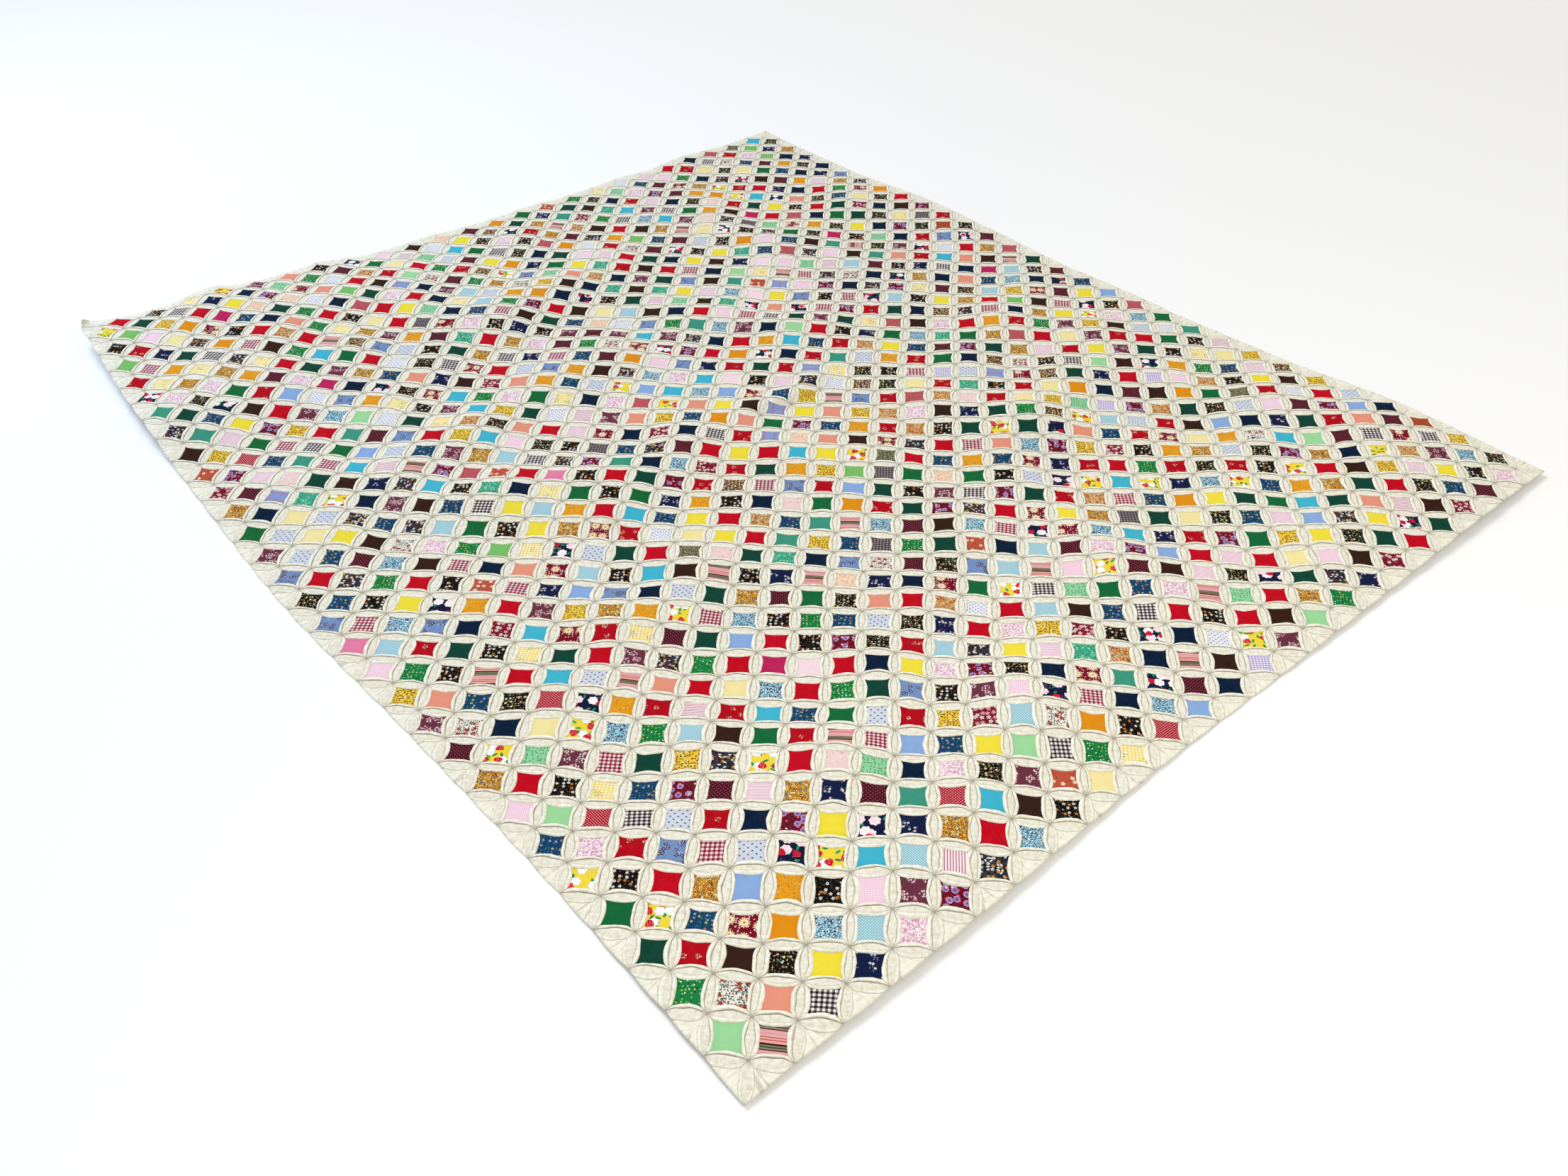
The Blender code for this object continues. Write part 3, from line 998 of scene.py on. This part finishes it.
def dress_cotton(cloth):
    """Light plain weave cotton, dyed or printed and washed soft: matt, with a fine even weave, and
    painted shadow of the rolls darkening it towards its edges.

    The threads are 0.35 mm apart, drawn here at 0.8 mm so that they show.
    """
    material, tree, shader, uv = new_cotton(cloth.name, 0.9, 0.0)
    colour = PATTERNS[type(cloth)](tree, uv, cloth)
    weave = woven(tree, uv, 1250, 160)
    rubbed = stretched_noise(tree, uv, (70, 70), 20)
    washed = add(tree, "Math ADD", {0: weave, 1: rubbed})
    pale = {"Value": washed, "From Min": 1.5, "From Max": 2.5, "To Max": FADED}
    pale = add(tree, "MapRange", pale)
    colour = add(tree, "Mix RGBA", {0: pale, 6: colour, 7: linear("#F2EFE8")}, 2)
    dull_and_edge_shade = {"Value": washed, "From Min": 1.55, "From Max": 0.55, "To Max": DULLED}
    dull_and_edge_shade = add(tree, "MapRange", dull_and_edge_shade)
    # Washing dulls the colour at random, and painted shadow of the rolls darkens it towards the
    # patch's edges, both towards a near black.
    painted_shade_and_seam_dark = add(tree, "Attribute", {"attribute_name": "painted_shade_and_seam_dark"}, "Fac")
    dull_and_edge_shade = add(tree, "Math MULTIPLY_ADD", {0: painted_shade_and_seam_dark, 1: 0.3, 2: dull_and_edge_shade})
    colour = add(tree, "Mix RGBA", {0: dull_and_edge_shade, 6: colour, 7: linear("#14100E")}, 2)
    tree.links.new(colour, shader.inputs["Base Color"])
    threads = add(tree, "Bump", {"Strength": 0.2, "Distance": 0.00025, "Height": weave})
    creases = stretched_noise(tree, uv, (55, 16), 35, 2)
    creased = {"Strength": 0.8, "Distance": 0.0026, "Height": creases, "Normal": threads}
    tree.links.new(add(tree, "Bump", creased), shader.inputs["Normal"])
    return material


# The windows in order: those on the seams that run along the quilt, then those across it. Each
# is the four lattice points round it, from the one nearest the near left corner, clockwise from
# its right: near, right, far, left.
round_windows = (
    (corners[:-1, 1:-1], middles[:, 1:], corners[1:, 1:-1], middles[:, :-1]),
    (middles[:-1], corners[1:-1, 1:], middles[1:], corners[1:-1, :-1]),
)
windows = np.concatenate([np.stack(points, 2).reshape(-1, 4, 2) for points in round_windows])
lattice = np.stack([corner_across, corner_along], -1)
seam_middles = (lattice[:-1, 1:-1] + (0, 0.5), lattice[1:-1, :-1] + (0.5, 0))
seam_middles = np.concatenate([places.reshape(-1, 2) for places in seam_middles])
# Rows of windows counted up from the near left corner, and places in a row from the left.
window_row = (seam_middles.sum(1) - 0.5).astype(int)
window_place = np.round(seam_middles[:, 0] - seam_middles[:, 1] - 0.5).astype(int)

# The cloths in the rows from the near left corner, each row from left to right.
NEAR_ROWS = """
mint plain, brown and pink stripe

green meadow, rust roses on white, peach plain, black gingham

bottle green plain, red bouquet, brown plain, black meadow, lemon plain, navy bells

kelly green plain, berries on yellow, blue vines, burgundy daisies, marigold plain,
light blue garden, light blue pin dot, pink sprig on white

berries on yellow, black calico, crimson plain, mustard garden, cornflower plain, orange sprig,
black calico, pink gingham, plum sprig, burgundy carnations

blue vines, pink sprig on white, red bouquet, denim roses, red gingham, blue grey posy,
berries on navy, berries on yellow, turquoise plain, light blue pin dot, raspberry stripe,
charcoal garden

pink gingham, mint plain, crimson pin dot, black gingham, blue grey posy, red bouquet,
navy plain, burgundy carnations, lemon plain, berries on navy, navy bells, mustard garden,
crimson plain, light blue garden

mustard garden, crimson plain, black calico, yellow check posy, blue vines,
burgundy carnations, maroon pin dot, pink pencil stripe, mustard garden, navy bells,
maroon pin dot, jade plain, crimson pin dot, turquoise plain, brown plain, black calico

maroon pin dot, berries on yellow, mint leaves, plum sprig, red gingham, bottle green plain,
yellow garden, charcoal garden, berries on yellow, crimson plain, pale pink figures,
mint leaves, navy plain, pink sprig on white, black meadow, plum sprig, rust posy,
cream yellow plain

plum sprig, rust roses on white, navy plain, cream yellow plain, berries on yellow,
light blue garden, green meadow, light blue pin dot, brown plain, kelly green plain,
red bouquet, brown and pink stripe, red gingham, cornflower plain, blue vines, lemon plain,
mint plain, black gingham, green meadow, yellow check posy

yellow garden, peach plain, blue vines, black meadow, crimson pin dot, berries on navy,
orange sprig, red bouquet, raspberry stripe, red bouquet, turquoise plain, blue vines,
kelly green plain, blue grey posy, red bouquet, yellow garden, burgundy blossoms,
light blue pin dot, rust roses on white, marigold plain, black calico, crimson pin dot

pink gingham, green meadow, black calico, brown and pink stripe, crimson plain,
turquoise plain, blue grey posy, brown and pink stripe, peach plain, crimson plain,
cream yellow plain, light blue garden, crimson plain, green meadow, bottle green plain,
denim roses, black calico, plum sprig, pink gingham, berries on navy, red gingham, navy plain,
light blue garden, cornflower plain
"""
near_rows = [row.replace(",\n", ", ").split(", ") for row in NEAR_ROWS.strip().split("\n\n")]
# Cloths that the maker had more or less of than others, by how many times as often they come up.
PLENTIFUL = {
    5.0: "crimson plain",
    3.8: "black calico, bottle green plain, navy plain",
    3.5: "red bouquet",
    3.0: "brown plain",
    2.8: "blue vines",
    2.6: "maroon pin dot",
    2.4: "black meadow",
    2.2: "kelly green plain",
    2.1: "burgundy carnations",
    2.0: "navy bells",
    1.8: "lemon plain, mustard garden, orange sprig, berries on yellow",
    1.6: "charcoal garden, black gingham, red gingham",
    1.5: "burgundy daisies, green meadow, light blue garden, peach plain, berries on navy",
    1.4: "plum sprig",
    1.3: "turquoise plain, blue grey posy",
    0.6: "mint plain, brown thicket, denim line stripe",
    0.5: "pale pink figures, olive posy, peach posy, green pin dot, grey plaid, rust posy",
    0.4: "raspberry plain",
    0.3: "rose plain, rust plain, pale pink plain, lilac check",
}
names = [cloth.name for cloth in CLOTHS]
chance = np.ones(len(names))
for times, group in PLENTIFUL.items():
    for name in group.split(", "):
        chance[names.index(name)] = times
chance = chance / chance.sum()
picked = {}
for index in np.lexsort((window_place, window_row)):
    row = int(window_row[index])
    place_in_row = int(window_place[index])
    if row <= len(near_rows):
        cloth_name = near_rows[row - 1][place_in_row + row]
    else:
        beside = {picked.get((row, place_in_row - 1)), picked.get((row - 1, place_in_row))}
        cloth_name = names[rng.choice(len(names), p=chance)]
        while cloth_name in beside:
            cloth_name = names[rng.choice(len(names), p=chance)]
    picked[(row, place_in_row)] = cloth_name
window_cloth = np.array(
    [names.index(picked[(int(r), int(p))]) for r, p in zip(window_row, window_place)]
)

# A patch is a grid of points that runs a little under the rolls round it. It lies slack, a
# little up in its middle, with one soft wave of its own.
PATCH_LINES = np.linspace(0.13, 0.87, 6)
PATCH_HEIGHT = 1.4 * MM
PATCH_SLACK = 0.6 * MM
up, left = np.meshgrid(PATCH_LINES, PATCH_LINES, indexing="ij")
weights = np.stack([(1 - up) * (1 - left), up * (1 - left), up * left, (1 - up) * left], -1)
patch_place = np.einsum("ijk,wkc->wijc", weights, windows)
swell = (1 - (2 * up - 1) ** 2) * (1 - (2 * left - 1) ** 2)
wave_turn = rng.uniform(0, math.pi, (len(windows), 1, 1))
wave_start = rng.uniform(0, 2 * math.pi, (len(windows), 1, 1))
wave_depth = rng.uniform(0.0, 0.35, (len(windows), 1, 1)) * MM
wave = np.sin(7 * (up * np.cos(wave_turn) + left * np.sin(wave_turn)) + wave_start)
patch_height = PATCH_HEIGHT + swell * (PATCH_SLACK + wave_depth * wave)
patch_points = on_cloth(patch_place[..., 0], patch_place[..., 1], patch_height)
# Cut square with the cloth's threads, mostly end up or end down, and from anywhere on it.
QUARTER_TURNS = (0.42, 0.08, 0.42, 0.08)
quarter = rng.choice(4, len(windows), p=QUARTER_TURNS) * (math.pi / 2)
patch_turn = quarter + rng.normal(0, 0.035, len(windows))
patch_from = rng.uniform(0, 0.4, (len(windows), 1, 1, 2))
rightward = (0.5 - left) * CELL
upward = (up - 0.5) * CELL
cosine = np.cos(patch_turn)[:, None, None]
sine = np.sin(patch_turn)[:, None, None]
patch_uv = [rightward * cosine - upward * sine, rightward * sine + upward * cosine]
patch_uv = np.stack(patch_uv, -1) + patch_from
# Painted shadow of the rolls: how much a patch is darkened, growing towards its edges.
patch_edge_shade = np.maximum(abs(2 * up - 1), abs(2 * left - 1)) ** 4

dress_cottons = [dress_cotton(cloth) for cloth in CLOTHS]
PATCH_PIECES = 12
patch_quads = grid_quads(len(PATCH_LINES), len(PATCH_LINES))[:, ::-1]
order = np.lexsort((seam_middles[:, 0], seam_middles[:, 1]))
all_edge_shade = np.broadcast_to(patch_edge_shade, (len(windows),) + patch_edge_shade.shape)
for piece, chosen in in_parts(
    "patches", PATCH_PIECES, order, patch_points, patch_quads, patch_uv, all_edge_shade
):
    for material in dress_cottons:
        piece.data.materials.append(material)
    slots = np.repeat(window_cloth[chosen], len(patch_quads)).astype(np.int32)
    piece.data.polygons.foreach_set("material_index", slots)
    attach(piece, "root")


# Tacking stitches
# At every point where leaves meet, two or three turns of cotton thread cross through all the
# layers and pull them together.

THREAD = 0.4 * MM
TACK_LENGTH = 3.0 * MM
tack_nodes = np.concatenate([corners[1:-1, 1:-1].reshape(-1, 2), middles.reshape(-1, 2)])
tack_count = len(tack_nodes)
tack_turn = rng.normal(0, 0.25, tack_count)
along_tack = np.array([-0.5, 0.0, 0.5])
tack_heights = np.array([1.7, 2.15, 1.7])
round_thread = np.arange(3) * (2 * math.pi / 3) + math.pi / 2
tack_points = []
for crossing, lift in ((0.0, 0.0), (math.pi / 2, 0.35)):
    angle = (tack_turn + crossing)[:, None, None]
    run = (along_tack * TACK_LENGTH / BLOCK)[:, None]
    off = np.cos(round_thread) * THREAD / 2 / BLOCK
    tack_across = tack_nodes[:, :1, None] + run * np.cos(angle) - off * np.sin(angle)
    tack_along = tack_nodes[:, 1:, None] + run * np.sin(angle) + off * np.cos(angle)
    tack_height = (tack_heights[:, None] + lift) * MM + np.sin(round_thread) * THREAD / 2
    tack_height = np.broadcast_to(tack_height, tack_across.shape)
    tack_points.append(on_cloth(tack_across, tack_along, tack_height))
tack_points = np.stack(tack_points, 1).reshape(-1, 3)
ring = np.arange(3)
ring_next = (ring + 1) % 3
step = np.array([[0], [3]])
tack_quads = np.stack([step + ring, step + ring_next, step + 3 + ring_next, step + 3 + ring], -1)
tack_quads = tack_quads.reshape(-1, 4)
tacks = cloth_mesh(
    "tacking_stitches",
    tack_points,
    (tack_quads[None] + np.arange(tack_count * 2)[:, None, None] * 9).reshape(-1, 4),
    tack_points[:, :2],
    np.zeros(len(tack_points)),
)
tacks.data.materials.append(
    unbleached_muslin("cotton sewing thread", "#E6DFCA", "#D3C9AF", (0.0002, 800, 200))
)
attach(tacks, "root")


# Floor and light
# A plain pale floor, and the even, bright light of a large window on the far side.

bpy.ops.mesh.primitive_plane_add(size=30, location=(0, 0, -0.3 * MM))
floor = bpy.context.object
floor.name = "floor"
paint = bpy.data.materials.new("matt white floor paint")
paint.use_nodes = True
coat = paint.node_tree.nodes["Principled BSDF"].inputs
coat["Base Color"].default_value = linear("#F7F7F7")
coat["Roughness"].default_value = 0.95
floor.data.materials.append(paint)

world = bpy.data.worlds.new("soft daylight")
bpy.context.scene.world = world
world.use_nodes = True
sky = world.node_tree.nodes["Background"].inputs
sky["Color"].default_value = linear("#FFFEFC")
sky["Strength"].default_value = 0.6


def new_light(kind, name, energy, colour, place, target):
    """A light of a kind at a place, turned to a target."""
    lamp = bpy.data.lights.new(name, kind)
    lamp.energy = energy
    lamp.color = linear(colour)[:3]
    holder = bpy.data.objects.new(name, lamp)
    holder.location = place
    holder.rotation_euler = (Vector(place) - Vector(target)).to_track_quat("Z", "Y").to_euler()
    bpy.context.scene.collection.objects.link(holder)
    return lamp


# The main light comes from behind the quilt, 40 degrees up and well to the left of the camera's
# line of sight. A cool light from the far left and a warm one from the near end fill it in.
sun = new_light("SUN", "high window", 1.38, "#FFFBF0", (0.4, 2.7, 2.3), (0, 0, 0))
sun.angle = math.radians(24)
new_light("AREA", "cool fill", 40, "#A0CBFF", (-1.5, 2.5, 2.2), (-0.5, 0.9, 0)).size = 2
new_light("AREA", "near fill", 21, "#FFF8EA", (-0.3, -2.6, 2.1), (-0.7, -1.0, 0)).size = 1.5

# The camera stands 1.4 m over the floor, out past the near left corner, and looks down along
# the quilt's diagonal. Its place and view are measured from that corner.
CAMERA_PLACE = (-0.4777, -0.6522, 1.399)
CAMERA_VIEW = (0.4982, 0.5961, -0.6297)
CAMERA_ROLL_DEG = -0.31
FRAME_WIDTH = 2212
FOCAL_PIXELS = 1898
camera = bpy.data.cameras.new("camera")
camera.sensor_width = 36
camera.lens = 36 * FOCAL_PIXELS / FRAME_WIDTH
camera.clip_end = 60
eye = bpy.data.objects.new("camera", camera)
turned = Vector(CAMERA_VIEW).to_track_quat("-Z", "Y").to_matrix()
roll = Matrix.Rotation(math.radians(CAMERA_ROLL_DEG), 3, "Z")
eye.matrix_world = Matrix.Translation(
    Vector(CAMERA_PLACE) - Vector((middle_x, middle_y, 0))
) @ (turned @ roll).to_4x4()
bpy.context.scene.collection.objects.link(eye)
bpy.context.scene.camera = eye
bpy.context.scene.view_settings.view_transform = "Standard"
